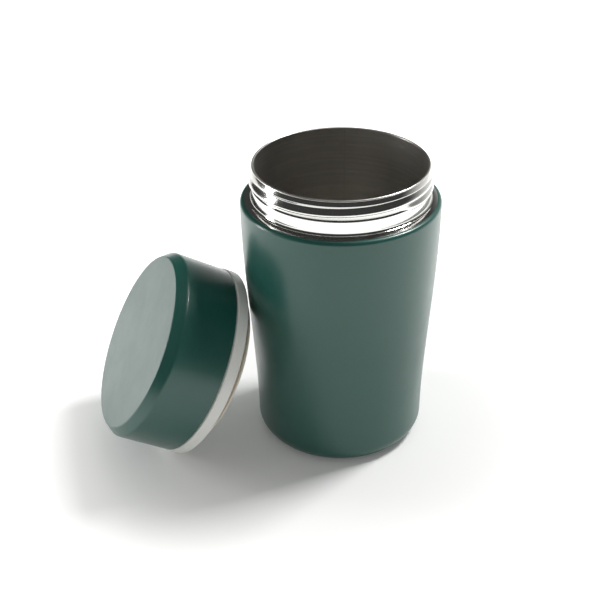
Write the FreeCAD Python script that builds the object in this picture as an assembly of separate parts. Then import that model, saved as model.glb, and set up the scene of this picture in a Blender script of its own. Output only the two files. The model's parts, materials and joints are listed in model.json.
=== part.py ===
import FreeCAD, Part
import math
import os

# Insulated food jar with its screw lid taken off. The lid leans on the jar's flank with the end of
# its collar on the ground. Millimetres, +Z up. The origin is the centre of the jar's foot.

# Jar body, outside
shoulder_height = 128.8       # top of the coated rim
shoulder_width = 5.35         # from the seat band out to the widest radius of the body
body_taper = 5.4              # how much narrower the wall is at the foot
foot_corner_radius = 8.6      # rounding between wall and foot
foot_land = 3.5               # width of the flat ring that the jar stands on
rim_round = 2.0               # rounding of the coated rim
rim_band = 4.3                # straight band below that rounding
shell_wall = 0.7

# Mouth and neck
mouth_radius = 40.4
neck_height = 17.3            # from the coated rim to the lip
liner_wall = 0.5
neck_wall = 0.6
neck_step = 0.6               # how far the seat band stands proud of the thread band
seat_band_height = 5.1        # polished band under the thread
seat_band_base = 2.1          # where that band starts above the rim
shoulder_rise = 0.6           # slope of the steel shoulder
shoulder_fillet = 1.4
weld_gap = 0.05               # play between two walls that are slid together and welded

# Liner
vacuum_gap = 3.5              # between shell and liner above the rounded foot
liner_straight = 44.0         # straight bore below the lip
liner_floor = 9.6             # height of the inside floor
liner_corner_radius = 13.0    # inside rounding between wall and floor
liner_seam_rise = 3.4         # from that rounding up to the weld between bottom and wall

# Vacuum space and foot
foil_wall = 0.15
foil_gap = 0.05
foil_margin = 6.0             # bare neck of the liner left above the foil
plate_wall = 0.7
plate_margin = 0.6            # flat of the foot left bare round the base plate
dimple_radius = 8.0           # dimple round the evacuation hole
dimple_depth = 1.6
evacuation_hole_radius = 1.2
seal_radius = 3.0
cover_gap = 0.3
getter_radius = 4.0
getter_height = 1.6
getter_offset = 18.0          # distance of the getter from the jar's axis
clip_wall = 0.3
clip_width = 3.0
clip_foot = 4.0

# Lid
crown_depth = 17.9            # from the top face to the underside of the web
lip_headroom = 1.0            # space above the jar's lip when the lid is shut
shut_gap = 0.3                # gap between collar and rim when the lid is shut
cap_wall = 0.6
cap_edge_width = 3.5          # slanted edge of the top face, measured inwards
cap_edge_depth = 4.5
cap_edge_round = 1.2
cap_play = 0.15               # play of the moulding inside the steel cap
skirt_wall = 2.65             # wall of the threaded skirt
thread_room = 1.65            # room for the thread between skirt and seat band
skirt_chamfer = 0.8           # lead-in at the mouth of the skirt
web_wall = 1.8
collar_height = 5.7
collar_proud = 0.5            # how far the collar stands out beyond the cap
collar_seam = 0.4             # visible gap between cap and collar
collar_round = 0.8
foam_gap = 0.2
stopper_clearance = 1.8       # play between stopper and mouth
stopper_wall = 1.4
stopper_reach = 5.9           # how far the stopper stands out of the collar
stopper_flange = 0.8          # flange that keeps the gasket on
gasket_clearance = 0.3        # play between gasket and mouth
gasket_height = 4.4
gasket_depth = 2.0            # how deep the groove goes into the stopper
gasket_fin = 1.0              # thickness of each sealing fin
gasket_fin_reach = 1.3        # how far the fins stand out of the gasket
gasket_gap = 0.1

# How the lid leans
lean_angle = 29.2             # slope of the lid's axis
lean_bearing = 15.8           # turn of the lid's axis away from the -X direction, towards -Y
lean_side_offset = 7.7        # distance at which the lid's axis passes the jar's axis
lean_clearance = 0.35         # gap left between lid and flank
lean_samples = 360

# Sizes of the jar that follow from those above
thread_root_radius = mouth_radius + liner_wall + weld_gap + neck_wall
seat_band_radius = thread_root_radius + neck_step
seat_band_top = shoulder_height + seat_band_base + seat_band_height
body_top_radius = seat_band_radius + shoulder_width
body_foot_radius = body_top_radius - body_taper
band_foot = shoulder_height - rim_round - rim_band
rim_edge_radius = body_top_radius - rim_round
lip_height = shoulder_height + neck_height
lip_round = (thread_root_radius - mouth_radius) / 2
lip_base = lip_height - lip_round
foot_ring_outer = body_foot_radius - foot_corner_radius
foot_ring_inner = foot_ring_outer - foot_land
liner_foot_radius = body_foot_radius - shell_wall - vacuum_gap - liner_wall
liner_corner_top = liner_floor + liner_corner_radius
liner_seam_height = liner_corner_top + liner_seam_rise
straight_base = lip_height - liner_straight

# Sizes of the lid that follow
lid_height = crown_depth + lip_headroom + neck_height + shut_gap
web_upper = crown_depth - web_wall
skirt_bore_radius = seat_band_radius + thread_room
skirt_radius = skirt_bore_radius + skirt_wall
skirt_top = cap_edge_depth + cap_edge_round + cap_wall
cap_radius = skirt_radius + cap_play + cap_wall
cap_depth = lid_height - collar_height - collar_seam
collar_radius = cap_radius + collar_proud
stopper_radius = mouth_radius - stopper_clearance
stopper_end = lid_height + stopper_reach
gasket_radius = mouth_radius - gasket_clearance
gasket_end = stopper_end - stopper_flange
gasket_start = gasket_end - gasket_height
groove_radius = stopper_radius - gasket_depth


def point(radius, height):
    return FreeCAD.Vector(radius, 0, height)


def path(start, *steps):
    """Edges in the X-Z plane. A step is a point, or (middle, end) of an arc, or a ready edge."""
    edges = []
    here = start
    for step in steps:
        if isinstance(step, Part.Edge):
            edges.append(step)
            here = step.Vertexes[-1].Point
        elif isinstance(step, tuple):
            edges.append(Part.Arc(here, step[0], step[1]).toShape())
            here = step[1]
        else:
            edges.append(Part.makeLine(here, step))
            here = step
    if here.distanceToPoint(start) > 1e-7:
        edges.append(Part.makeLine(here, start))
    return edges


def turned(start, *steps):
    """Solid of revolution about the Z axis."""
    face = Part.Face(Part.Wire(path(start, *steps)))
    return face.revolve(FreeCAD.Vector(0, 0, 0), FreeCAD.Vector(0, 0, 1), 360)


def bow(centre, radius, middle_deg, end_deg):
    """Middle and end of an arc about a centre, given by angles in the X-Z plane."""
    at = [
        centre + point(radius * math.cos(math.radians(a)), radius * math.sin(math.radians(a)))
        for a in (middle_deg, end_deg)
    ]
    return at[0], at[1]


def ogee(radius_a, height_a, radius_b, height_b):
    """Wall line that is upright at both ends and tapers between them."""
    reach = (height_b - height_a) / 3
    curve = Part.BezierCurve()
    curve.setPoles([
        point(radius_a, height_a),
        point(radius_a, height_a + reach),
        point(radius_b, height_b - reach),
        point(radius_b, height_b),
    ])
    return curve.toShape()


def ogee_radius(height, radius_a, height_a, radius_b, height_b):
    share = (height - height_a) / (height_b - height_a)
    return radius_a + (radius_b - radius_a) * (3 - 2 * share) * share ** 2


# Jar, outside

def make_outer_shell():
    """Coated wall with its ogee taper and rounded rim."""
    rim = point(rim_edge_radius, shoulder_height - rim_round)
    rim_inner = rim_round - shell_wall
    return turned(
        point(body_foot_radius, foot_corner_radius),
        ogee(body_foot_radius, foot_corner_radius, body_top_radius, band_foot),
        point(body_top_radius, shoulder_height - rim_round),
        bow(rim, rim_round, 45, 90),
        point(rim_edge_radius, shoulder_height - shell_wall),
        bow(rim, rim_inner, 45, 0),
        point(body_top_radius - shell_wall, band_foot),
        ogee(body_top_radius - shell_wall, band_foot, body_foot_radius - shell_wall, foot_corner_radius),
    )


def make_outer_foot():
    """Coated foot, butt-welded to the wall: the rounded corner and the ring that the jar stands on."""
    corner = point(foot_ring_outer, foot_corner_radius)
    return turned(
        point(foot_ring_inner, 0),
        point(foot_ring_outer, 0),
        bow(corner, foot_corner_radius, -45, 0),
        point(body_foot_radius - shell_wall, foot_corner_radius),
        bow(corner, foot_corner_radius - shell_wall, -45, -90),
        point(foot_ring_inner, shell_wall),
    )


def make_threaded_neck():
    """Steel shoulder, polished seat band and the sleeve that carries the thread."""
    shoulder_top = shoulder_height + shoulder_rise
    fillet_outer = point(seat_band_radius + shoulder_fillet, shoulder_top + shoulder_fillet)
    step_top = seat_band_top + neck_step
    return turned(
        point(rim_edge_radius, shoulder_height),
        point(fillet_outer.x, shoulder_top),
        bow(fillet_outer, shoulder_fillet, 225, 180),
        point(seat_band_radius, seat_band_top),
        point(thread_root_radius, step_top),
        point(thread_root_radius, lip_base),
        point(thread_root_radius - neck_wall, lip_base),
        point(thread_root_radius - neck_wall, step_top - neck_wall),
        point(seat_band_radius - neck_wall, seat_band_top - neck_wall),
        point(seat_band_radius - neck_wall, fillet_outer.z),
        bow(fillet_outer, shoulder_fillet + neck_wall, 225, 270),
        point(rim_edge_radius, shoulder_height - neck_wall),
    )


# Jar, inside

def make_inner_liner():
    """Straight bore with a lip rolled over the neck, then a gentle taper."""
    outer = mouth_radius + liner_wall
    lip = point(mouth_radius + lip_round, lip_base)
    seam_radius = ogee_radius(
        liner_seam_height, liner_foot_radius, liner_corner_top, mouth_radius, straight_base)
    return turned(
        point(seam_radius, liner_seam_height),
        ogee(seam_radius, liner_seam_height, mouth_radius, straight_base),
        point(mouth_radius, lip_base),
        bow(lip, lip_round, 90, 0),
        point(outer, lip_base),
        point(outer, straight_base),
        ogee(outer, straight_base, seam_radius + liner_wall, liner_seam_height),
    )


def make_liner_base():
    """Deep drawn bottom of the food space."""
    seam_radius = ogee_radius(
        liner_seam_height, liner_foot_radius, liner_corner_top, mouth_radius, straight_base)
    corner = point(seam_radius - liner_corner_radius, liner_corner_top)
    return turned(
        point(0, liner_floor),
        point(corner.x, liner_floor),
        bow(corner, liner_corner_radius, -45, 0),
        point(seam_radius, liner_seam_height),
        point(seam_radius + liner_wall, liner_seam_height),
        point(seam_radius + liner_wall, liner_corner_top),
        bow(corner, liner_corner_radius + liner_wall, -45, -90),
        point(0, liner_floor - liner_wall),
    )


def make_radiation_foil():
    """Copper foil wound round the liner inside the vacuum: a flat sheet, so a cone and a cylinder."""
    seam_radius = ogee_radius(
        liner_seam_height, liner_foot_radius, liner_corner_top, mouth_radius, straight_base)
    # An ogee swells past the straight line between its ends by this much
    swell = (mouth_radius - seam_radius) * math.sqrt(3) / 18
    inner = liner_wall + swell + foil_gap
    outer = inner + foil_wall
    high = shoulder_height - foil_margin
    return turned(
        point(seam_radius + inner, liner_seam_height),
        point(mouth_radius + inner, straight_base),
        point(mouth_radius + inner, high),
        point(mouth_radius + outer, high),
        point(mouth_radius + outer, straight_base),
        point(seam_radius + outer, liner_seam_height),
    )


def make_getter():
    """Pill that soaks up stray gas, under the liner's bottom."""
    top = liner_floor - liner_wall
    pill = Part.makeCylinder(getter_radius, getter_height, point(getter_offset, top - getter_height))
    return pill.makeFillet(getter_height / 4, [pill.Edges[0], pill.Edges[2]])


def make_getter_clip():
    """Thin strap, spot welded to the liner's bottom on both sides of the pill."""
    top = liner_floor - liner_wall
    inner = getter_radius + clip_wall
    outer = inner + clip_wall
    drop = getter_height + clip_wall / 2
    strip = [
        (-outer - clip_foot, 0), (-inner, 0), (-inner, -drop), (inner, -drop), (inner, 0),
        (outer + clip_foot, 0), (outer + clip_foot, -clip_wall), (outer, -clip_wall),
        (outer, -drop - clip_wall), (-outer, -drop - clip_wall), (-outer, -clip_wall),
        (-outer - clip_foot, -clip_wall),
    ]
    corners = [FreeCAD.Vector(getter_offset - clip_width / 2, y, top + z) for y, z in strip]
    face = Part.Face(Part.makePolygon(corners + corners[:1]))
    return face.extrude(FreeCAD.Vector(clip_width, 0, 0))


# Jar, foot

def make_base_plate():
    """Plate welded into the foot, with a dimple round the evacuation hole."""
    low = shell_wall
    high = low + plate_wall
    rim = foot_ring_outer - plate_margin
    slope = dimple_depth
    return turned(
        point(evacuation_hole_radius, low + dimple_depth),
        point(dimple_radius - slope, low + dimple_depth),
        point(dimple_radius, low),
        point(rim, low),
        point(rim, high),
        point(dimple_radius - plate_wall / 2, high),
        point(dimple_radius - slope - plate_wall / 2, high + dimple_depth),
        point(evacuation_hole_radius, high + dimple_depth),
    )


def make_vacuum_seal():
    """Bead of brazing metal that closes the evacuation hole."""
    top = shell_wall + dimple_depth
    bead = dimple_depth - cover_gap
    centre = point(0, top - bead + (seal_radius ** 2 + bead ** 2) / (2 * bead))
    low = point(0, top - bead)
    reach = centre.z - low.z
    half = math.asin(seal_radius / reach) / 2
    middle = centre + point(reach * math.sin(half), -reach * math.cos(half))
    return turned(
        low,
        (middle, point(seal_radius, top)),
        point(evacuation_hole_radius, top),
        point(evacuation_hole_radius, top + plate_wall),
        point(0, top + plate_wall),
    )


def make_base_cover():
    """Disc that hides the seal and lies flush with the foot."""
    cover = Part.makeCylinder(foot_ring_inner - cover_gap, shell_wall)
    return cover.makeChamfer(cover_gap / 2, [e for e in cover.Edges if e.BoundBox.ZMax < shell_wall / 2])


# Lid, drawn with its top face at height 0 and its mouth downwards

def softened(solid, rounds):
    """Rounds the circular edges that lie at the given radius and height."""
    for radius, height, size in rounds:
        chosen = [
            e for e in solid.Edges
            if abs(e.BoundBox.ZMin - height) < 1e-6 and abs(e.BoundBox.ZMax - height) < 1e-6
            and abs(e.BoundBox.XMax - radius) < 1e-6
        ]
        solid = solid.makeFillet(size, chosen)
    return solid


def make_lid_cap():
    """Drawn steel cap with a flat top and a slanted, softened edge."""
    face_radius = cap_radius - cap_edge_width
    top_turn = math.atan2(cap_edge_depth, cap_edge_width)
    low_turn = math.pi / 2 - top_turn
    inner_face_radius = face_radius - cap_wall * math.tan(top_turn / 2)
    inner_edge_depth = cap_edge_depth + cap_wall * math.tan(low_turn / 2)
    cap = turned(
        point(0, 0),
        point(face_radius, 0),
        point(cap_radius, -cap_edge_depth),
        point(cap_radius, -cap_depth),
        point(cap_radius - cap_wall, -cap_depth),
        point(cap_radius - cap_wall, -inner_edge_depth),
        point(inner_face_radius, -cap_wall),
        point(0, -cap_wall),
    )
    return softened(cap, [
        (face_radius, 0, cap_edge_round),
        (cap_radius, -cap_edge_depth, 2 * cap_edge_round),
        (cap_radius - cap_wall, -inner_edge_depth, 2 * cap_edge_round - cap_wall),
        (inner_face_radius, -cap_wall, cap_edge_round - cap_wall),
    ])


def make_lid_collar():
    """One moulding: the pale collar, the threaded skirt inside the cap and the web across it."""
    collar_top = cap_depth + collar_seam
    collar = turned(
        point(0, -web_upper),
        point(skirt_bore_radius, -web_upper),
        point(skirt_bore_radius, -skirt_top),
        point(skirt_radius, -skirt_top),
        point(skirt_radius, -collar_top),
        point(collar_radius, -collar_top),
        point(collar_radius, -lid_height),
        point(skirt_bore_radius + skirt_chamfer, -lid_height),
        point(skirt_bore_radius, -lid_height + skirt_chamfer),
        point(skirt_bore_radius, -crown_depth),
        point(0, -crown_depth),
    )
    return softened(collar, [
        (collar_radius, -collar_top, collar_round),
        (collar_radius, -lid_height, collar_round),
    ])


def make_lid_foam():
    """Insulating disc between the cap and the web."""
    radius = skirt_bore_radius - foam_gap
    top_radius = cap_radius - cap_edge_width - cap_edge_round
    return turned(
        point(0, -cap_wall - foam_gap),
        point(top_radius, -cap_wall - foam_gap),
        point(radius, -cap_edge_depth - cap_wall),
        point(radius, -web_upper),
        point(0, -web_upper),
    )


def make_lid_stopper():
    """Cup that reaches into the mouth, with the gasket's groove near its end."""
    inner = stopper_radius - stopper_wall
    groove_inner = groove_radius - stopper_wall
    step = gasket_start - stopper_wall
    floor = stopper_end - stopper_wall
    return turned(
        point(stopper_radius, -crown_depth),
        point(stopper_radius, -gasket_start),
        point(groove_radius, -gasket_start),
        point(groove_radius, -gasket_end),
        point(stopper_radius, -gasket_end),
        point(stopper_radius, -stopper_end),
        point(0, -stopper_end),
        point(0, -floor),
        point(groove_inner, -floor),
        point(groove_inner, -step),
        point(inner, -step),
        point(inner, -crown_depth),
    )


def make_stopper_foam():
    """Insulating plug inside the stopper."""
    wide = stopper_radius - stopper_wall - foam_gap
    narrow = groove_radius - stopper_wall - foam_gap
    step = gasket_start - stopper_wall - foam_gap
    return turned(
        point(0, -crown_depth),
        point(wide, -crown_depth),
        point(wide, -step),
        point(narrow, -step),
        point(narrow, -stopper_end + stopper_wall),
        point(0, -stopper_end + stopper_wall),
    )


def make_lid_gasket():
    """Silicone ring with two sealing fins."""
    low = gasket_end - gasket_gap
    high = gasket_start + gasket_gap
    body = gasket_radius - gasket_fin_reach
    return turned(
        point(groove_radius + gasket_gap, -high),
        point(gasket_radius, -high),
        point(gasket_radius, -high - gasket_fin),
        point(body, -high - gasket_fin),
        point(body, -low + gasket_fin),
        point(gasket_radius, -low + gasket_fin),
        point(gasket_radius, -low),
        point(groove_radius + gasket_gap, -low),
    )


# Where the lid leans

def jar_radius(height):
    """Outside radius of the coated body at a height."""
    if height < foot_corner_radius:
        return foot_ring_outer + math.sqrt(foot_corner_radius ** 2 - (foot_corner_radius - height) ** 2)
    if height < band_foot:
        return ogee_radius(height, body_foot_radius, foot_corner_radius, body_top_radius, band_foot)
    return body_top_radius


def lid_placement():
    """Puts the end of the collar on the ground and the lid's mouth just clear of the flank."""
    slope = math.radians(lean_angle)
    bearing = math.radians(lean_bearing)
    away = FreeCAD.Vector(-math.cos(bearing), -math.sin(bearing), 0)
    side = FreeCAD.Vector(math.sin(bearing), -math.cos(bearing), 0)
    axis = away * math.cos(slope) + FreeCAD.Vector(0, 0, math.sin(slope))
    upward = FreeCAD.Vector(0, 0, math.cos(slope)) - away * math.sin(slope)
    # Rings of the outline that can meet the ground or the jar: radius, depth, rounding
    rings = [
        (collar_radius - collar_round, lid_height - collar_round, collar_round),
        (gasket_radius, gasket_end, 0),
        (stopper_radius, stopper_end, 0),
    ]
    height = max(d * math.sin(slope) + r * math.cos(slope) + e for r, d, e in rings)

    def spare(distance):
        """Smallest gap between the rings and the flank, with the lid at a distance."""
        centre = away * distance - side * lean_side_offset + FreeCAD.Vector(0, 0, height)
        gaps = []
        for radius, depth, edge in rings:
            for i in range(lean_samples):
                turn = 2 * math.pi * i / lean_samples
                spot = centre - axis * depth + (side * math.cos(turn) + upward * math.sin(turn)) * radius
                gaps.append(math.hypot(spot.x, spot.y) - jar_radius(max(spot.z, 0)) - edge)
        return min(gaps)

    near = 0
    far = 4 * (body_top_radius + lid_height)
    for i in range(50):
        middle = (near + far) / 2
        if spare(middle) < lean_clearance:
            near = middle
        else:
            far = middle
    centre = away * far - side * lean_side_offset + FreeCAD.Vector(0, 0, height)
    print("lid axis", [round(v, 6) for v in axis])
    print("centre of the lid's top face", [round(v, 4) for v in centre])
    return FreeCAD.Placement(centre, FreeCAD.Rotation(FreeCAD.Vector(0, 0, 1), axis))


jar_pieces = {
    "outer_shell": make_outer_shell,
    "outer_foot": make_outer_foot,
    "threaded_neck": make_threaded_neck,
    "inner_liner": make_inner_liner,
    "liner_base": make_liner_base,
    "radiation_foil": make_radiation_foil,
    "getter": make_getter,
    "getter_clip": make_getter_clip,
    "base_plate": make_base_plate,
    "vacuum_seal": make_vacuum_seal,
    "base_cover": make_base_cover,
}
lid_pieces = {
    "lid_cap": make_lid_cap,
    "lid_collar": make_lid_collar,
    "lid_foam": make_lid_foam,
    "lid_stopper": make_lid_stopper,
    "stopper_foam": make_stopper_foam,
    "lid_gasket": make_lid_gasket,
}


def save(name, solid):
    if not solid.isValid() or solid.Volume <= 0:
        raise ValueError(name + " is not a sound solid")
    solid.exportStep("parts/" + name + ".step")
    print(name, round(solid.Volume, 1))


os.makedirs("parts", exist_ok=True)
for name, make in jar_pieces.items():
    save(name, make())
lean = lid_placement()
for name, make in lid_pieces.items():
    piece = make()
    piece.Placement = lean.multiply(piece.Placement)
    save(name, piece)
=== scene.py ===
import json
import math

import bpy
from mathutils import Matrix, Vector


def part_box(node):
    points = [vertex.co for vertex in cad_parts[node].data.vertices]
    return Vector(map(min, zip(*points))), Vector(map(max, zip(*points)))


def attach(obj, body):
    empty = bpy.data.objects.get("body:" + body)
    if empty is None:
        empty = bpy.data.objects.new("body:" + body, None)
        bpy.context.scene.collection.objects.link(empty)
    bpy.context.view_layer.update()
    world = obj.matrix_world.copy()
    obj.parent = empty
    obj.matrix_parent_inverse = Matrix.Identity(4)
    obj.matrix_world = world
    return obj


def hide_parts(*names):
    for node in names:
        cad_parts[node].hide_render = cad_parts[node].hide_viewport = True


bl_info = {
    "name": "Insulated food jar",
    "version": (1, 0, 0),
    "blender": (4, 5, 0),
    "location": "3D View > Sidebar > Food Jar",
    "description": "Models and finishes an insulated food jar and its screw lid around the packed frame",
    "category": "Object",
}

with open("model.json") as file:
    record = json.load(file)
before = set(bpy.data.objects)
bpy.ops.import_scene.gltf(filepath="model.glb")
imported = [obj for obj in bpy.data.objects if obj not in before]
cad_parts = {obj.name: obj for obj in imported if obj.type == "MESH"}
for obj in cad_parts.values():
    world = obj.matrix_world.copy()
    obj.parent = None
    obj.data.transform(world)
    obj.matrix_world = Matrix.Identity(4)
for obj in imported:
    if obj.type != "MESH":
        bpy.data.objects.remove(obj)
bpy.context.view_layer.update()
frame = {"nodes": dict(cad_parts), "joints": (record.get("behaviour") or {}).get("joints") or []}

MM = 0.001
ON_AXIS = 1e-6                      # radius of a ring that is closed to a point on the axis
TAPER = 0.3 * MM                    # small steps and support rings beside rounded edges
SUNK = 0.25 * MM                    # how far a ridge reaches into the wall that carries it
RIDGE_POINTS = 16                   # points across a ridge
RIDGE_LEAN = 0.55                   # below 1 the crest lies nearer the lower flank
RIDGE_SHARPNESS = 1.15
RIDGE_STEPS = 160                   # rings in one turn of a ridge
RUNOUT = math.radians(32)           # length of a ridge's fading ends
PICTURE_WIDTH = 600
UPRIGHT = Matrix.Identity(4)

lid_joint = next(j for j in frame["joints"] if j["name"] == "lid_turn")
lid_facing = Vector(lid_joint["axis"]).normalized().to_track_quat("Z", "Y")
LID_PLACE = Matrix.Translation(lid_joint["pos_m"]) @ lid_facing.to_matrix().to_4x4()

rim_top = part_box("outer_shell")[1].z
lip_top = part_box("inner_liner")[1].z
liner_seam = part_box("inner_liner")[0].z


# Sizes and colours that a user would change

def length(label, words, value):
    return bpy.props.FloatProperty(
        name=label, description=words, default=value, unit="LENGTH", subtype="DISTANCE", precision=5)


def colour(label, words, value):
    return bpy.props.FloatVectorProperty(
        name=label, description=words, default=value, size=3, min=0, max=1, subtype="COLOR")


class JarSizes(bpy.types.PropertyGroup):
    top_radius: length("Top radius", "Radius of the coated body under its rim", 47.5 * MM)
    foot_radius: length("Foot radius", "Radius where the wall meets the rounded foot", 42.1 * MM)
    foot_round: length("Foot rounding", "Rounding between wall and foot", 8.6 * MM)
    foot_land: length("Foot ring", "Width of the flat ring that the jar stands on", 3.5 * MM)
    rim_round: length("Rim rounding", "Rounding of the coated rim", 2.0 * MM)
    rim_band: length("Rim band", "Straight band below the rim's rounding", 4.3 * MM)
    shell_wall: length("Shell wall", "Thickness of the outer wall", 0.7 * MM)
    mouth_radius: length("Mouth radius", "Inside radius of the mouth", 40.4 * MM)
    liner_wall: length("Liner wall", "Thickness of the inner wall", 0.5 * MM)
    liner_foot_radius: length("Liner foot radius", "Inside radius near the bottom", 37.4 * MM)
    liner_straight: length("Straight bore", "Length of the straight bore below the lip", 44.0 * MM)
    liner_floor: length("Floor height", "Height of the inside floor", 9.6 * MM)
    liner_corner: length("Floor rounding", "Inside rounding between wall and floor", 13.0 * MM)
    cover_gap: length("Cover gap", "Groove round the disc under the foot", 0.3 * MM)


class NeckSizes(bpy.types.PropertyGroup):
    root_radius: length("Thread root radius", "Outside of the sleeve between the threads", 41.55 * MM)
    band_radius: length("Seat band radius", "Radius of the polished band under the thread", 42.15 * MM)
    band_top: length("Seat band top", "Height of the band's top above the rim", 7.2 * MM)
    wall: length("Neck wall", "Thickness of the neck", 0.6 * MM)
    shoulder_rise: length("Shoulder rise", "Slope of the steel shoulder", 0.6 * MM)
    shoulder_fillet: length("Shoulder fillet", "Hollow rounding at the foot of the neck", 1.4 * MM)
    bead_crest: length("Lip bead", "How far the slanted bead under the lip stands proud", 1.0 * MM)
    bead_depth: length("Lip bead depth", "Height of the bead, down from the lip", 2.9 * MM)
    bead_round: length("Lip bead rounding", "Rounding of the bead's lower edge", 0.35 * MM)
    thread_crest: length("Thread crest", "How far the thread stands proud at its lower end", 1.75 * MM)
    thread_top_crest: length("Thread top crest", "The same at its upper end", 1.5 * MM)
    thread_width: length("Thread width", "Width of the ridge at its root", 4.3 * MM)
    thread_pitch: length("Thread pitch", "Climb of the thread in one turn", 4.1 * MM)
    thread_low: length("Thread start", "Height of the ridge's lower end below the lip", 9.5 * MM)
    thread_turns: bpy.props.FloatProperty(
        name="Thread turns", description="Length of the thread in turns", default=1.25, min=0.2, max=3)
    thread_start: bpy.props.FloatProperty(
        name="Thread start angle", description="Where the thread's lower end lies, seen from above",
        default=math.radians(-58), subtype="ANGLE", unit="ROTATION")


class LidSizes(bpy.types.PropertyGroup):
    height: length("Lid height", "From the top face to the end of the collar", 36.5 * MM)
    cap_radius: length("Cap radius", "Radius of the coated cap", 47.2 * MM)
    cap_depth: length("Cap depth", "Depth of the coated cap", 30.4 * MM)
    cap_wall: length("Cap wall", "Thickness of the cap", 0.6 * MM)
    edge_width: length("Edge width", "Slanted edge, measured inwards", 3.5 * MM)
    edge_depth: length("Edge depth", "Slanted edge, measured down the side", 4.5 * MM)
    edge_round: length("Edge rounding", "Rounding at the top of the slanted edge", 1.2 * MM)
    collar_radius: length("Collar radius", "Radius of the pale collar", 47.7 * MM)
    collar_seam: length("Collar seam", "Gap between cap and collar", 0.4 * MM)
    collar_round: length("Collar rounding", "Rounding of the collar's edges", 0.8 * MM)
    skirt_bore: length("Skirt bore", "Inside radius of the threaded skirt", 43.8 * MM)
    skirt_radius: length("Skirt radius", "Outside of the skirt in the cap", 46.45 * MM)
    skirt_top: length("Skirt top", "Depth of the skirt's top edge", 6.3 * MM)
    skirt_chamfer: length("Skirt lead-in", "Slanted edge at the mouth of the skirt", 0.8 * MM)
    thread_reach: length("Skirt thread", "How far the skirt's thread stands out inwards", 1.1 * MM)
    thread_low: length("Skirt thread start", "Height of its first turn above the collar's end", 5.2 * MM)
    thread_turns: bpy.props.FloatProperty(
        name="Skirt thread turns", description="Length of the skirt's thread in turns", default=1.1)
    web_upper: length("Web top", "Depth of the web's upper face", 16.1 * MM)
    web_lower: length("Web bottom", "Depth of the web's lower face", 17.9 * MM)
    stopper_radius: length("Stopper radius", "Radius of the stopper", 38.6 * MM)
    stopper_wall: length("Stopper wall", "Thickness of the stopper", 1.4 * MM)
    stopper_reach: length("Stopper reach", "How far it stands out of the collar", 5.9 * MM)
    stopper_flange: length("Stopper flange", "Flange that keeps the gasket on", 0.8 * MM)
    gasket_radius: length("Gasket radius", "Radius of the sealing fins", 40.1 * MM)
    gasket_height: length("Gasket height", "Height of the gasket", 4.4 * MM)
    gasket_depth: length("Groove depth", "How deep the groove goes into the stopper", 2.0 * MM)
    gasket_fin: length("Fin thickness", "Thickness of each sealing fin", 1.0 * MM)
    gasket_reach: length("Fin reach", "How far the fins stand out", 1.3 * MM)
    gasket_gap: length("Gasket play", "Play in the groove", 0.1 * MM)


class FinishColours(bpy.types.PropertyGroup):
    coat: colour("Coat", "Dark green powder coat", (0.0105, 0.0860, 0.0670))
    coat_deep: colour("Coat, thicker", "Coat where it lies thicker", (0.0085, 0.0710, 0.0550))
    steel: colour("Steel", "Polished stainless steel", (0.72, 0.72, 0.70))
    steel_dull: colour("Brushed steel", "Brushed stainless steel", (0.72, 0.70, 0.66))
    collar: colour("Collar", "Pale polypropylene", (0.84, 0.85, 0.81))
    silicone: colour("Silicone", "Cream silicone", (0.80, 0.73, 0.62))
    foam: colour("Foam", "Closed-cell foam", (0.84, 0.82, 0.76))
    copper: colour("Copper foil", "Foil in the vacuum", (0.78, 0.36, 0.20))


class StageSettings(bpy.types.PropertyGroup):
    focal_px: bpy.props.FloatProperty(
        name="Focal length", description="In pixels of a 600 pixel wide picture",
        default=1075.9)
    camera_distance: length("Camera distance", "From the jar's axis, over the ground", 457.34 * MM)
    camera_height: length("Camera height", "Above the ground", 351.18 * MM)
    pitch: bpy.props.FloatProperty(name="Pitch", description="Downward look", default=0.54948,
                                   subtype="ANGLE", unit="ROTATION")
    yaw: bpy.props.FloatProperty(name="Yaw", description="Turn to the side", default=-0.04352,
                                 subtype="ANGLE", unit="ROTATION")
    roll: bpy.props.FloatProperty(name="Roll", description="Tilt of the horizon", default=-0.01632,
                                  subtype="ANGLE", unit="ROTATION")
    floor_size: length("Floor size", "Side of the square floor", 12.0)
    key_power: bpy.props.FloatProperty(name="Key light", description="Watts, from the right and behind",
                                       default=20.0)
    fill_power: bpy.props.FloatProperty(name="Fill light", description="Watts, from low on the left",
                                        default=5.5)
    front_power: bpy.props.FloatProperty(name="Front light", description="Watts, from low in front",
                                         default=0.4)
    top_power: bpy.props.FloatProperty(name="Top light", description="Watts, from above", default=1.0)


# Modelling helpers

def arc_points(radius, height, size, start_deg, end_deg, count):
    """Points of an arc about (radius, height), both ends included."""
    points = []
    for i in range(count + 1):
        turn = math.radians(start_deg + (end_deg - start_deg) * i / count)
        points.append((radius + size * math.cos(turn), height + size * math.sin(turn)))
    return points


def ogee_points(radius_a, height_a, radius_b, height_b, count):
    """A wall that is upright at both ends and tapers between them."""
    points = []
    for i in range(count + 1):
        t = i / count
        points.append((radius_a + (radius_b - radius_a) * (3 - 2 * t) * t * t,
                       height_a + (height_b - height_a) * t))
    return points


def rounded_corner(before, corner, after, size, count):
    """Points that round off a corner of an outline with a given radius."""
    a = (Vector(before) - Vector(corner)).normalized()
    b = (Vector(after) - Vector(corner)).normalized()
    half = a.angle(b) / 2
    centre = Vector(corner) + (a + b).normalized() * size / math.sin(half)
    start = Vector(corner) + a * size / math.tan(half) - centre
    end = Vector(corner) + b * size / math.tan(half) - centre
    sweep = start.angle_signed(end)
    points = []
    for i in range(count + 1):
        turn = -sweep * i / count
        points.append((centre.x + start.x * math.cos(turn) - start.y * math.sin(turn),
                       centre.y + start.x * math.sin(turn) + start.y * math.cos(turn)))
    return points


def deselect():
    bpy.ops.object.select_all(action="DESELECT")


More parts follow.
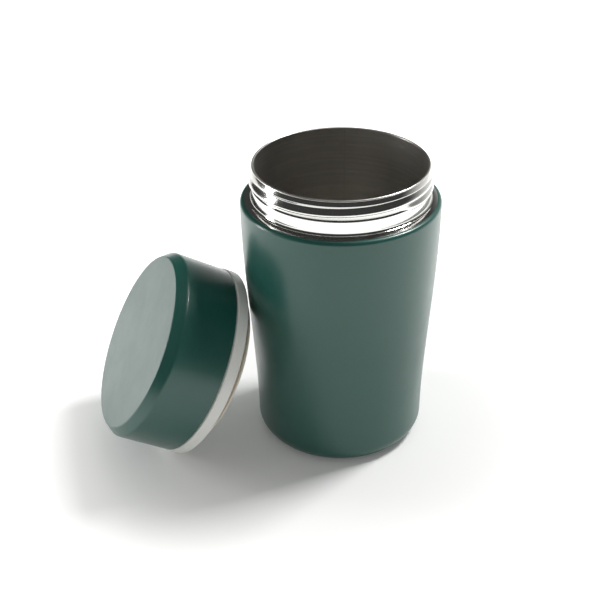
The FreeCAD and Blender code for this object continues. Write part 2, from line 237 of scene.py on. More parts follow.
def turned(name, outline, place=UPRIGHT, segments=192, smooth_deg=38):
    """A turned piece: a ring is drawn out along the outline, then its seam and poles are closed."""
    deselect()
    radius, height = outline[0]
    radius = max(radius, ON_AXIS)
    bpy.ops.mesh.primitive_circle_add(
        vertices=segments, radius=radius, fill_type="NOTHING", location=(0, 0, 0))
    piece = bpy.context.object
    piece.name = name
    piece.data.name = name
    bpy.ops.object.mode_set(mode="EDIT")
    bpy.ops.mesh.select_all(action="SELECT")
    bpy.ops.transform.translate(value=(0, 0, height))
    for next_radius, next_height in outline[1:]:
        next_radius = max(next_radius, ON_AXIS)
        bpy.ops.mesh.extrude_region_move(
            TRANSFORM_OT_translate={"value": (0, 0, next_height - height)})
        grow = next_radius / radius
        bpy.ops.transform.resize(value=(grow, grow, 1), center_override=(0, 0, next_height))
        radius, height = next_radius, next_height
    bpy.ops.mesh.select_all(action="SELECT")
    bpy.ops.mesh.remove_doubles(threshold=4 * ON_AXIS)
    bpy.ops.mesh.normals_make_consistent(inside=False)
    bpy.ops.object.mode_set(mode="OBJECT")
    bpy.ops.object.shade_smooth_by_angle(angle=math.radians(smooth_deg))
    settle(piece, place)
    return piece


def settle(piece, place):
    """Moves the mesh to its place and leaves the object at the origin."""
    deselect()
    piece.matrix_world = place
    piece.select_set(True)
    bpy.context.view_layer.objects.active = piece
    bpy.ops.object.transform_apply(location=True, rotation=True, scale=True)


def seat(piece, body, slot, finish, *nodes):
    """Rides on its body, stands for its CAD nodes and gets its finish."""
    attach(piece, body)
    if nodes:
        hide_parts(*nodes)
    piece.data.materials.clear()
    piece.data.materials.append(finish)


def ridge(name, radius, crest, top_crest, width, pitch, turns, low, start, place=UPRIGHT,
          inward=False):
    """A rolled screw ridge: short rounded lower flank, long upper flank and run-out ends."""
    steps = int(RIDGE_STEPS * turns)
    flip = -1 if inward else 1
    section = [(-SUNK, -width / 2), (0, -width / 2)]
    for i in range(1, RIDGE_POINTS):
        t = i / RIDGE_POINTS
        rise = math.sin(math.pi * t ** RIDGE_LEAN) ** RIDGE_SHARPNESS
        section.append((crest * rise, width * (t - 0.5)))
    section += [(0, width / 2), (-SUNK, width / 2)]
    deselect()
    bpy.ops.mesh.primitive_circle_add(vertices=len(section), radius=width / 2, fill_type="NGON")
    piece = bpy.context.object
    piece.name = name
    piece.data.name = name
    for vertex, (out, up) in zip(piece.data.vertices, section):
        vertex.co = (radius + flip * out, 0, up)
    screw = piece.modifiers.new("Thread", "SCREW")
    screw.axis = "Z"
    screw.angle = 2 * math.pi * turns
    screw.screw_offset = pitch * turns
    screw.steps = steps
    screw.render_steps = steps
    screw.use_merge_vertices = False
    bpy.ops.object.modifier_apply(modifier="Thread")
    whole = 2 * math.pi * turns
    for vertex in piece.data.vertices:
        turn = whole * (vertex.index // len(section)) / steps
        fade = min(1.0, turn / RUNOUT, (whole - turn) / RUNOUT)
        fade = fade * fade * (3 - 2 * fade)
        fade *= 1 + (top_crest / crest - 1) * turn / whole
        flat = math.hypot(vertex.co.x, vertex.co.y)
        root = radius - flip * SUNK
        kept = root + (flat - root) * max(fade, 0.02)
        vertex.co.x *= kept / flat
        vertex.co.y *= kept / flat
    bpy.ops.object.mode_set(mode="EDIT")
    bpy.ops.mesh.select_all(action="SELECT")
    bpy.ops.mesh.normals_make_consistent(inside=False)
    bpy.ops.object.mode_set(mode="OBJECT")
    bpy.ops.object.shade_smooth_by_angle(angle=math.radians(50))
    settle(piece, place @ Matrix.Translation((0, 0, low)) @ Matrix.Rotation(start, 4, "Z"))
    return piece


# Shader helpers

def new_group(name, inputs, outputs):
    """A shader node group with its sockets, ready to be filled."""
    group = bpy.data.node_groups.new(name, "ShaderNodeTree")
    for label, kind, value in inputs:
        socket = group.interface.new_socket(label, in_out="INPUT", socket_type=kind)
        if value is not None:
            socket.default_value = value
    for label, kind in outputs:
        group.interface.new_socket(label, in_out="OUTPUT", socket_type=kind)
    return group, group.nodes.new("NodeGroupInput"), group.nodes.new("NodeGroupOutput")


def node(tree, kind, links=None, **settings):
    """Adds a node, sets its fields and feeds its inputs: a socket is linked, a value is set."""
    made = tree.nodes.new(kind)
    for key, value in settings.items():
        setattr(made, key, value)
    for key, value in (links or {}).items():
        if isinstance(value, bpy.types.NodeSocket):
            tree.links.new(value, made.inputs[key])
        else:
            made.inputs[key].default_value = value
    return made


def maths(tree, operation, a, b=0.0):
    return node(tree, "ShaderNodeMath", {0: a, 1: b}, operation=operation).outputs[0]


def spread(tree, value, low, high, to_low=0.0, to_high=1.0, kind="LINEAR"):
    return node(tree, "ShaderNodeMapRange",
                {"Value": value, "From Min": low, "From Max": high,
                 "To Min": to_low, "To Max": to_high},
                interpolation_type=kind).outputs["Result"]


def blend_colour(tree, share, a, b):
    mix = node(tree, "ShaderNodeMix", data_type="RGBA")
    for socket, value in ((mix.inputs[0], share), (mix.inputs[6], a), (mix.inputs[7], b)):
        if isinstance(value, bpy.types.NodeSocket):
            tree.links.new(value, socket)
        else:
            socket.default_value = value
    return mix.outputs[2]


def solid_colour(values, shade=1.0):
    """An opaque colour, darkened by a factor."""
    return (values[0] * shade, values[1] * shade, values[2] * shade, 1.0)


def make_coat_grain():
    """Fine orange peel of a powder coat, with slow changes of tone."""
    group, given, result = new_group(
        "Coat grain",
        [("Vector", "NodeSocketVector", None), ("Grain", "NodeSocketFloat", 1500.0)],
        [("Height", "NodeSocketFloat"), ("Tone", "NodeSocketFloat"), ("Sheen", "NodeSocketFloat")])
    peel = node(group, "ShaderNodeTexNoise",
                {"Vector": given.outputs["Vector"], "Scale": given.outputs["Grain"], "Detail": 2.0,
                 "Roughness": 0.5})
    coarse = node(group, "ShaderNodeTexNoise",
                  {"Vector": given.outputs["Vector"],
                   "Scale": maths(group, "MULTIPLY", given.outputs["Grain"], 0.32), "Detail": 1.0})
    height = maths(group, "ADD", maths(group, "MULTIPLY", peel.outputs["Fac"], 0.6),
                   maths(group, "MULTIPLY", coarse.outputs["Fac"], 0.4))
    cloud = node(group, "ShaderNodeTexNoise",
                 {"Vector": given.outputs["Vector"], "Scale": 28.0, "Detail": 3.0})
    speck = spread(group, peel.outputs["Fac"], 0.35, 0.65)
    tone = maths(group, "ADD", maths(group, "MULTIPLY", cloud.outputs["Fac"], 0.6),
                 maths(group, "MULTIPLY", speck, 0.4))
    sheen = node(group, "ShaderNodeTexNoise",
                 {"Vector": given.outputs["Vector"], "Scale": 60.0, "Detail": 4.0, "Roughness": 0.6})
    group.links.new(height, result.inputs["Height"])
    group.links.new(tone, result.inputs["Tone"])
    group.links.new(sheen.outputs["Fac"], result.inputs["Sheen"])
    return group


def make_turned_lines():
    """Fine lines left by turning or brushing round an axis: they change along Z only."""
    group, given, result = new_group(
        "Turned lines",
        [("Vector", "NodeSocketVector", None), ("Density", "NodeSocketFloat", 9000.0),
         ("Wander", "NodeSocketFloat", 0.02)],
        [("Height", "NodeSocketFloat"), ("Streak", "NodeSocketFloat")])
    parts = node(group, "ShaderNodeSeparateXYZ", {"Vector": given.outputs["Vector"]})
    wander = maths(group, "MULTIPLY", given.outputs["Density"], given.outputs["Wander"])
    stretched = node(group, "ShaderNodeCombineXYZ",
                     {"X": maths(group, "MULTIPLY", parts.outputs["X"], wander),
                      "Y": maths(group, "MULTIPLY", parts.outputs["Y"], wander),
                      "Z": maths(group, "MULTIPLY", parts.outputs["Z"], given.outputs["Density"])})
    fine = node(group, "ShaderNodeTexNoise",
                {"Vector": stretched.outputs[0], "Scale": 1.0, "Detail": 3.0, "Roughness": 0.65})
    wide = node(group, "ShaderNodeTexNoise",
                {"Vector": stretched.outputs[0], "Scale": 0.12, "Detail": 2.0})
    streak = spread(group, maths(group, "ADD", fine.outputs["Fac"], wide.outputs["Fac"]), 0.75, 1.25)
    group.links.new(fine.outputs["Fac"], result.inputs["Height"])
    group.links.new(streak, result.inputs["Streak"])
    return group


def make_handling():
    """Faint wiped patches that change the gloss."""
    group, given, result = new_group(
        "Handling marks",
        [("Vector", "NodeSocketVector", None), ("Size", "NodeSocketFloat", 22.0)],
        [("Mask", "NodeSocketFloat")])
    patch = node(group, "ShaderNodeTexNoise",
                 {"Vector": given.outputs["Vector"], "Scale": given.outputs["Size"], "Detail": 5.0,
                  "Roughness": 0.62, "Distortion": 0.6})
    group.links.new(spread(group, patch.outputs["Fac"], 0.42, 0.68, kind="SMOOTHSTEP"),
                    result.inputs["Mask"])
    return group


def make_weld_line():
    """Mask of the upright weld line on the liner's far wall."""
    group, given, result = new_group(
        "Weld line",
        [("Vector", "NodeSocketVector", None), ("Offset", "NodeSocketFloat", 0.0),
         ("Half width", "NodeSocketFloat", 0.0004)],
        [("Mask", "NodeSocketFloat")])
    parts = node(group, "ShaderNodeSeparateXYZ", {"Vector": given.outputs["Vector"]})
    aside = maths(group, "SUBTRACT", parts.outputs["X"], given.outputs["Offset"])
    line = spread(group, maths(group, "ABSOLUTE", aside), 0.0, given.outputs["Half width"],
                  1.0, 0.0, "SMOOTHSTEP")
    behind = maths(group, "GREATER_THAN", parts.outputs["Y"], 0.0)
    group.links.new(maths(group, "MULTIPLY", line, behind), result.inputs["Mask"])
    return group


GROUPS = {}


def effect(tree, name, **values):
    """Places one of the shared effects in a material."""
    placed = tree.nodes.new("ShaderNodeGroup")
    placed.node_tree = GROUPS[name]
    for key, value in values.items():
        label = key.replace("_", " ")
        if isinstance(value, bpy.types.NodeSocket):
            tree.links.new(value, placed.inputs[label])
        else:
            placed.inputs[label].default_value = value
    return placed


def new_finish(name, place=UPRIGHT):
    """A material with its shader and with coordinates centred on the piece's own axis."""
    finish = bpy.data.materials.new(name)
    finish.use_nodes = True
    tree = finish.node_tree
    tree.nodes.clear()
    output = tree.nodes.new("ShaderNodeOutputMaterial")
    shader = tree.nodes.new("ShaderNodeBsdfPrincipled")
    tree.links.new(shader.outputs["BSDF"], output.inputs["Surface"])
    inverse = place.inverted()
    centred = node(tree, "ShaderNodeMapping",
                   {"Vector": tree.nodes.new("ShaderNodeTexCoord").outputs["Object"],
                    "Location": inverse.to_translation(), "Rotation": inverse.to_euler()})
    return finish, tree, shader, centred.outputs["Vector"]


def bump(tree, shader, height, strength, depth):
    raised = node(tree, "ShaderNodeBump", {"Height": height, "Strength": strength, "Distance": depth})
    tree.links.new(raised.outputs["Normal"], shader.inputs["Normal"])


def coat_finish(name, colours, place=UPRIGHT):
    finish, tree, shader, at = new_finish(name, place)
    grain = effect(tree, "Coat grain", Vector=at, Grain=1700.0)
    marks = effect(tree, "Handling marks", Vector=at, Size=18.0)
    tree.links.new(
        blend_colour(tree, grain.outputs["Tone"], solid_colour(colours.coat_deep),
                     solid_colour(colours.coat)),
        shader.inputs["Base Color"])
    gloss = maths(tree, "ADD", spread(tree, grain.outputs["Sheen"], 0.3, 0.7, 0.33, 0.39),
                  maths(tree, "MULTIPLY", marks.outputs["Mask"], 0.03))
    tree.links.new(gloss, shader.inputs["Roughness"])
    shader.inputs["Coat Weight"].default_value = 0.30
    shader.inputs["Coat Roughness"].default_value = 0.17
    bump(tree, shader, grain.outputs["Height"], 0.35, 0.00004)
    return finish


def polished_finish(name, colours, roughness, place=UPRIGHT):
    finish, tree, shader, at = new_finish(name, place)
    lines = effect(tree, "Turned lines", Vector=at, Density=14000.0, Wander=0.01)
    marks = effect(tree, "Handling marks", Vector=at, Size=40.0)
    shade = maths(tree, "MULTIPLY", lines.outputs["Streak"], 0.25)
    tree.links.new(
        blend_colour(tree, shade, solid_colour(colours.steel), solid_colour(colours.steel_dull)),
        shader.inputs["Base Color"])
    shader.inputs["Metallic"].default_value = 1.0
    gloss = maths(tree, "ADD", maths(tree, "MULTIPLY", marks.outputs["Mask"], 0.05),
                  spread(tree, lines.outputs["Streak"], 0.0, 1.0, roughness, roughness + 0.06))
    tree.links.new(gloss, shader.inputs["Roughness"])
    bump(tree, shader, lines.outputs["Height"], 0.12, 0.00001)
    return finish


def liner_finish(name, colours):
    finish, tree, shader, at = new_finish(name)
    lines = effect(tree, "Turned lines", Vector=at, Density=7000.0, Wander=0.015)
    seam = effect(tree, "Weld line", Vector=at, Offset=0.0018, Half_width=0.00045)
    marks = effect(tree, "Handling marks", Vector=at, Size=30.0)
    body = blend_colour(tree, lines.outputs["Streak"], solid_colour(colours.steel_dull),
                        solid_colour(colours.steel_dull, 0.86))
    tree.links.new(
        blend_colour(tree, seam.outputs["Mask"], body, solid_colour(colours.steel_dull, 0.85)),
        shader.inputs["Base Color"])
    shader.inputs["Metallic"].default_value = 1.0
    gloss = maths(tree, "ADD", maths(tree, "MULTIPLY", marks.outputs["Mask"], 0.05),
                  spread(tree, lines.outputs["Streak"], 0.0, 1.0, 0.27, 0.36))
    tree.links.new(gloss, shader.inputs["Roughness"])
    height = maths(tree, "ADD", lines.outputs["Height"],
                   maths(tree, "MULTIPLY", seam.outputs["Mask"], 3.0))
    bump(tree, shader, height, 0.3, 0.00002)
    return finish


def plastic_finish(name, tint, place, roughness, speck):
    finish, tree, shader, at = new_finish(name, place)
    grain = effect(tree, "Coat grain", Vector=at, Grain=speck)
    marks = effect(tree, "Handling marks", Vector=at, Size=26.0)
    tree.links.new(
        blend_colour(tree, grain.outputs["Tone"], solid_colour(tint, 0.95), solid_colour(tint)),
        shader.inputs["Base Color"])
    gloss = maths(tree, "ADD", maths(tree, "MULTIPLY", marks.outputs["Mask"], 0.06),
                  spread(tree, grain.outputs["Sheen"], 0.3, 0.7, roughness, roughness + 0.06))
    tree.links.new(gloss, shader.inputs["Roughness"])
    bump(tree, shader, grain.outputs["Height"], 0.2, 0.00003)
    return finish


def metal_finish(name, tint, roughness):
    finish, tree, shader, at = new_finish(name)
    lines = effect(tree, "Turned lines", Vector=at, Density=5000.0, Wander=0.3)
    tree.links.new(
        blend_colour(tree, lines.outputs["Streak"], solid_colour(tint), solid_colour(tint, 0.8)),
        shader.inputs["Base Color"])
    shader.inputs["Metallic"].default_value = 1.0
    tree.links.new(spread(tree, lines.outputs["Streak"], 0.0, 1.0, roughness, roughness + 0.1),
                   shader.inputs["Roughness"])
    bump(tree, shader, lines.outputs["Height"], 0.2, 0.00002)
    return finish


FINISHES = {}


class FOODJAR_OT_finishes(bpy.types.Operator):
    """Builds the shared effects and the materials"""
    bl_idname = "foodjar.finishes"
    bl_label = "Make finishes"

    def execute(self, context):
        colours = context.scene.foodjar_colours
        GROUPS["Coat grain"] = make_coat_grain()
        GROUPS["Turned lines"] = make_turned_lines()
        GROUPS["Handling marks"] = make_handling()
        GROUPS["Weld line"] = make_weld_line()
        FINISHES["jar coat"] = coat_finish("Jar coat", colours)
        FINISHES["lid coat"] = coat_finish("Lid coat", colours, LID_PLACE)
        FINISHES["neck steel"] = polished_finish("Neck steel", colours, 0.06)
        FINISHES["liner steel"] = liner_finish("Liner steel", colours)
        FINISHES["collar"] = plastic_finish("Collar plastic", colours.collar, LID_PLACE, 0.34, 900.0)
        FINISHES["stopper"] = plastic_finish("Stopper plastic", colours.collar, LID_PLACE, 0.4, 900.0)
        FINISHES["silicone"] = plastic_finish("Silicone", colours.silicone, LID_PLACE, 0.5, 600.0)
        FINISHES["foam"] = plastic_finish("Foam", colours.foam, LID_PLACE, 0.85, 420.0)
        FINISHES["hidden steel"] = metal_finish("Hidden steel", colours.steel_dull, 0.35)
        FINISHES["copper"] = metal_finish("Copper foil", colours.copper, 0.25)
        FINISHES["getter"] = metal_finish("Getter metal", (0.2, 0.2, 0.21), 0.6)
        FINISHES["braze"] = metal_finish("Brazing metal", (0.6, 0.55, 0.42), 0.4)
        return {"FINISHED"}


class FOODJAR_OT_body(bpy.types.Operator):
    """Coated outer wall with its taper, rounded rim and rounded foot"""
    bl_idname = "foodjar.body"
    bl_label = "Make jar body"

    def execute(self, context):
        s = context.scene.foodjar_jar
        ring_outer = s.foot_radius - s.foot_round
        ring_inner = ring_outer - s.foot_land
        band_foot = rim_top - s.rim_round - s.rim_band
        rim_edge = s.top_radius - s.rim_round
        wall = s.shell_wall
        outline = [(ring_inner, 0), (ring_inner + TAPER, 0), (ring_outer - TAPER, 0)]
        outline += arc_points(ring_outer, s.foot_round, s.foot_round, -90, 0, 20)
        outline += ogee_points(s.foot_radius, s.foot_round, s.top_radius, band_foot, 44)[1:]
        outline.append((s.top_radius, rim_top - s.rim_round - 0.6 * MM))
        outline += arc_points(rim_edge, rim_top - s.rim_round, s.rim_round, 0, 90, 12)
        outline.append((rim_edge, rim_top - wall))
        outline += arc_points(rim_edge, rim_top - s.rim_round, s.rim_round - wall, 90, 0, 4)[1:]
        outline += ogee_points(s.top_radius - wall, band_foot, s.foot_radius - wall,
                               s.foot_round, 14)
        outline += arc_points(ring_outer, s.foot_round, s.foot_round - wall, 0, -90, 6)[1:]
        outline += [(ring_inner, wall), (ring_inner, 0)]
        piece = turned("jar_coated_body", outline)
        seat(piece, "jar", "coated_steel", FINISHES["jar coat"], "outer_shell", "outer_foot")
        return {"FINISHED"}


class FOODJAR_OT_neck(bpy.types.Operator):
    """Polished shoulder, seat band and threaded sleeve"""
    bl_idname = "foodjar.neck"
    bl_label = "Make neck"

    def execute(self, context):
        jar = context.scene.foodjar_jar
        s = context.scene.foodjar_neck
        edge = jar.top_radius - jar.rim_round
        shoulder = rim_top + s.shoulder_rise
        band_top = rim_top + s.band_top
        step = s.band_radius - s.root_radius
        hollow = (s.band_radius + s.shoulder_fillet, shoulder + s.shoulder_fillet)
        sleeve_top = lip_top - (s.root_radius - jar.mouth_radius) / 2
        outline = [(edge, rim_top), (edge - 0.15 * MM, rim_top + 0.04 * MM),
                   (hollow[0] + TAPER, shoulder)]
        outline += arc_points(hollow[0], hollow[1], s.shoulder_fillet, 270, 180, 10)
        outline += [(s.band_radius, hollow[1] + TAPER), (s.band_radius, band_top - TAPER)]
        soft = 0.1 * MM
        round_over = 0.25 * MM
        outline += arc_points(s.band_radius - round_over, band_top - soft, round_over, 0, 55, 4)
        outline += [(s.root_radius + soft, band_top + step - soft),
                    (s.root_radius, band_top + step + soft)]
        bead_radius = s.root_radius + s.bead_crest - s.bead_round
        bead_height = lip_top - s.bead_depth + s.bead_round
        outline += [(s.root_radius, bead_height - 2 * s.bead_round),
                    (s.root_radius + 2 * soft, bead_height - s.bead_round)]
        outline += arc_points(bead_radius, bead_height, s.bead_round, -90, 25, 6)
        outline += [(s.root_radius, sleeve_top), (s.root_radius - s.wall, sleeve_top)]
        outline += [(s.root_radius - s.wall, band_top), (s.band_radius - s.wall, band_top - s.wall)]
        outline += [(s.band_radius - s.wall, hollow[1])]
        outline += arc_points(hollow[0], hollow[1], s.shoulder_fillet + s.wall, 180, 270, 5)[1:]
        outline += [(edge, rim_top - s.wall), (edge, rim_top)]
        piece = turned("jar_neck", outline, smooth_deg=30)
        seat(piece, "jar", "polished_steel", FINISHES["neck steel"], "threaded_neck")
        thread = ridge("jar_neck_thread", s.root_radius, s.thread_crest, s.thread_top_crest,
                       s.thread_width, s.thread_pitch, s.thread_turns, lip_top - s.thread_low,
                       s.thread_start)
        seat(thread, "jar", "polished_steel", FINISHES["neck steel"])
        return {"FINISHED"}


class FOODJAR_OT_liner(bpy.types.Operator):
    """Inner wall with its rolled lip, and the drawn bottom"""
    bl_idname = "foodjar.liner"
    bl_label = "Make liner"

    def execute(self, context):
        s = context.scene.foodjar_jar
        neck = context.scene.foodjar_neck
        wall = s.liner_wall
        straight = lip_top - s.liner_straight
        corner_top = s.liner_floor + s.liner_corner
        share = (liner_seam - corner_top) / (straight - corner_top)
        widening = (s.mouth_radius - s.liner_foot_radius) * (3 - 2 * share) * share ** 2
        seam_radius = s.liner_foot_radius + widening
        lip_round = (neck.root_radius - s.mouth_radius) / 2
        lip_base = lip_top - lip_round
        outline = ogee_points(seam_radius, liner_seam, s.mouth_radius, straight, 30)
        outline += [(s.mouth_radius, lip_base - 0.4 * MM)]
        outline += arc_points(s.mouth_radius + lip_round, lip_base, lip_round, 180, 0, 14)
        outline += [(s.mouth_radius + wall, lip_base), (s.mouth_radius + wall, straight)]
        outline += ogee_points(s.mouth_radius + wall, straight, seam_radius + wall, liner_seam, 12)[1:]
        outline.append((seam_radius, liner_seam))
        liner = turned("jar_liner", outline)
        seat(liner, "jar", "liner_steel", FINISHES["liner steel"], "inner_liner")
        corner = seam_radius - s.liner_corner
        floor = [(0, s.liner_floor), (corner - 0.5 * MM, s.liner_floor)]
        floor += arc_points(corner, corner_top, s.liner_corner, -90, 0, 20)
        floor += [(seam_radius, liner_seam), (seam_radius + wall, liner_seam),
                  (seam_radius + wall, corner_top)]
        floor += arc_points(corner, corner_top, s.liner_corner + wall, 0, -90, 8)[1:]
        floor.append((0, s.liner_floor - wall))
        bottom = turned("jar_liner_bottom", floor)
        seat(bottom, "jar", "liner_steel", FINISHES["liner steel"], "liner_base")
        return {"FINISHED"}


class FOODJAR_OT_foot(bpy.types.Operator):
    """Disc that lies flush with the foot"""
    bl_idname = "foodjar.foot"
    bl_label = "Make foot cover"

    def execute(self, context):
        s = context.scene.foodjar_jar
        radius = s.foot_radius - s.foot_round - s.foot_land - s.cover_gap
        ring = 0.62 * radius
        groove = 0.18 * MM
        chamfer = s.cover_gap / 2
        outline = [(0, 0), (ring - 2 * groove, 0)]
        outline += arc_points(ring, 0, groove, 180, 0, 6)
        outline += [(ring + 2 * groove, 0), (radius - 2 * chamfer, 0), (radius - chamfer, 0),
                    (radius, chamfer)]
        outline += [(radius, s.shell_wall), (0, s.shell_wall)]
        piece = turned("jar_foot_cover", outline)
        seat(piece, "jar", "coated_steel", FINISHES["jar coat"], "base_cover")
        return {"FINISHED"}


class FOODJAR_OT_cap(bpy.types.Operator):
    """Coated cap with a flat top and a slanted, softened edge"""
    bl_idname = "foodjar.cap"
    bl_label = "Make lid cap"

    def execute(self, context):
        s = context.scene.foodjar_lid
        face = s.cap_radius - s.edge_width
        steep = math.atan2(s.edge_depth, s.edge_width)
        inner_face = face - s.cap_wall * math.tan(steep / 2)
        inner_edge = s.edge_depth + s.cap_wall * math.tan((math.pi / 2 - steep) / 2)
        inner = s.cap_radius - s.cap_wall
        mouth = -s.cap_depth
        outline = [(0, 0), (face - 3 * s.edge_round, 0), (face - 1.1 * s.edge_round, 0)]
        outline += rounded_corner((0, 0), (face, 0), (s.cap_radius, -s.edge_depth), s.edge_round, 8)
        outline += rounded_corner((face, 0), (s.cap_radius, -s.edge_depth), (s.cap_radius, mouth),
                                  2 * s.edge_round, 8)
        fold = s.cap_wall / 2
        fold_top = mouth + 0.5 * MM
        outline += [(s.cap_radius, -s.edge_depth - 2 * s.edge_round), (s.cap_radius, fold_top)]
        outline += arc_points(s.cap_radius - fold, mouth + fold, fold, 0, -180, 6)
        outline += [(inner, fold_top), (inner, -inner_edge), (inner_face, -s.cap_wall),
                    (0, -s.cap_wall)]
        piece = turned("lid_coated_cap", outline, LID_PLACE)
        seat(piece, "lid", "coated_steel", FINISHES["lid coat"], "lid_cap")
        return {"FINISHED"}


class FOODJAR_OT_collar(bpy.types.Operator):
    """Pale collar with its threaded skirt and web"""
    bl_idname = "foodjar.collar"
    bl_label = "Make lid collar"

    def execute(self, context):
        s = context.scene.foodjar_lid
        top = -(s.cap_depth + s.collar_seam)
        end = -s.height
        soft = s.collar_round
        outline = [(0, -s.web_upper), (s.skirt_bore, -s.web_upper), (s.skirt_bore, -s.skirt_top)]
        outline += [(s.skirt_radius, -s.skirt_top), (s.skirt_radius, top)]
        outline += arc_points(s.collar_radius - soft, top - soft, soft, 90, 0, 8)
        outline += [(s.collar_radius, top - soft - TAPER), (s.collar_radius, end + soft + TAPER)]
        outline += arc_points(s.collar_radius - soft, end + soft, soft, 0, -90, 8)
        outline += [(s.skirt_bore + s.skirt_chamfer, end), (s.skirt_bore, end + s.skirt_chamfer)]
        outline += [(s.skirt_bore, -s.web_lower), (0, -s.web_lower)]
        piece = turned("lid_pale_collar", outline, LID_PLACE)
        seat(piece, "lid", "collar_plastic", FINISHES["collar"], "lid_collar")
        neck = context.scene.foodjar_neck
        thread = ridge("lid_skirt_thread", s.skirt_bore, s.thread_reach, s.thread_reach,
                       2 * s.thread_reach, neck.thread_pitch, s.thread_turns, end + s.thread_low, 0,
                       LID_PLACE, inward=True)
        seat(thread, "lid", "collar_plastic", FINISHES["collar"])
        return {"FINISHED"}


class FOODJAR_OT_stopper(bpy.types.Operator):
    """Stopper cup with its gasket groove"""
    bl_idname = "foodjar.stopper"
    bl_label = "Make stopper"

    def execute(self, context):
        s = context.scene.foodjar_lid
        end = s.height + s.stopper_reach
        low = end - s.stopper_flange
        high = low - s.gasket_height
        groove = s.stopper_radius - s.gasket_depth
        inner = s.stopper_radius - s.stopper_wall
        core = groove - s.stopper_wall
        rim = s.stopper_radius - 3 * MM
        dish = 0.5 * MM
        outline = [(s.stopper_radius, -s.web_lower), (s.stopper_radius, -high)]
        outline += [(groove, -high), (groove, -low)]
        outline += [(s.stopper_radius, -low), (s.stopper_radius, -end + TAPER)]
        outline += [(s.stopper_radius - TAPER, -end), (rim, -end)]
        outline += [(rim - 0.4 * MM, -end + dish), (0, -end + dish)]
        outline += [(0, -end + s.stopper_wall), (core, -end + s.stopper_wall)]
        outline += [(core, -high + s.stopper_wall), (inner, -high + s.stopper_wall)]
        outline += [(inner, -s.web_lower), (s.stopper_radius, -s.web_lower)]
        piece = turned("lid_stopper_cup", outline, LID_PLACE)
        seat(piece, "lid", "collar_plastic", FINISHES["stopper"], "lid_stopper")
        return {"FINISHED"}


class FOODJAR_OT_gasket(bpy.types.Operator):
    """Silicone ring with two rounded sealing fins"""
    bl_idname = "foodjar.gasket"
    bl_label = "Make gasket"

    def execute(self, context):
        s = context.scene.foodjar_lid
        end = s.height + s.stopper_reach
        low = -(end - s.stopper_flange - s.gasket_gap)
        high = -(end - s.stopper_flange - s.gasket_height + s.gasket_gap)
        groove = s.stopper_radius - s.gasket_depth + s.gasket_gap
        body = s.gasket_radius - s.gasket_reach
        fin = s.gasket_fin / 2
        outline = [(groove, high), (body, high)]
        outline += arc_points(s.gasket_radius - fin, high - fin, fin, 90, -90, 8)
        ease = 0.2 * MM
        outline += [(body + ease, high - 2 * fin), (body, high - 2 * fin - ease)]
        outline += [(body, low + 2 * fin + ease), (body + ease, low + 2 * fin)]
        outline += arc_points(s.gasket_radius - fin, low + fin, fin, 90, -90, 8)
        outline += [(body, low), (groove, low), (groove, high)]
        piece = turned("lid_silicone_gasket", outline, LID_PLACE)
        seat(piece, "gasket", "silicone", FINISHES["silicone"], "lid_gasket")
        return {"FINISHED"}


class FOODJAR_OT_hidden(bpy.types.Operator):
    """Finishes for the pieces inside the walls"""
    bl_idname = "foodjar.hidden"
    bl_label = "Finish inner pieces"

    def execute(self, context):
        finishes = {
            "radiation_foil": "copper", "getter": "getter", "getter_clip": "hidden steel",
            "base_plate": "hidden steel", "vacuum_seal": "braze", "lid_foam": "foam",
            "stopper_foam": "foam",
        }
        for name, finish in finishes.items():
            mesh = frame["nodes"][name].data
            mesh.materials.clear()
            mesh.materials.append(FINISHES[finish])
        return {"FINISHED"}


# Stage

# Seen directly or mirrored, the ground's glow grows with the distance from the origin: kept low near the
# jar, it leaves the ground round the jar's foot darker, a painted shade laid over the lamps' real shadow
# there
GLOW_NEAR, GLOW_FAR = 0.06, 0.24    # metres
GLOW_AT_JAR_PAINTED_SHADE, GLOW_MOST = 0.06, 0.70

# The room that polished metal mirrors, and the even level that lights everything else
BRIGHT_SIDE = Vector((0.50, 0.55, -0.75)).normalized()
MIRROR_FROM, MIRROR_TO = 0.15, 0.95 # where the mirrored room starts and ends to brighten
MIRROR_DARK, MIRROR_BRIGHT = 0.05, 1.2
ROOM_LEVEL = 0.32

LIGHTS_AIM = (0, 0, 0.06)
KEY_PLACE, KEY_SIZE = (0.75, 0.40, 1.30), (0.36, 0.36)
FILL_PLACE, FILL_SIZE = (-1.1, 0.06, 0.26), (0.2, 0.6)
FRONT_PLACE, FRONT_SIZE = (0.5, -0.95, 0.25), (0.8, 0.8)
TOP_PLACE, TOP_SIZE = (0.1, 0.25, 1.2), (0.7, 0.7)
FLOOR_DROP = 0.02 * MM              # keeps the ground clear of the foot's own faces


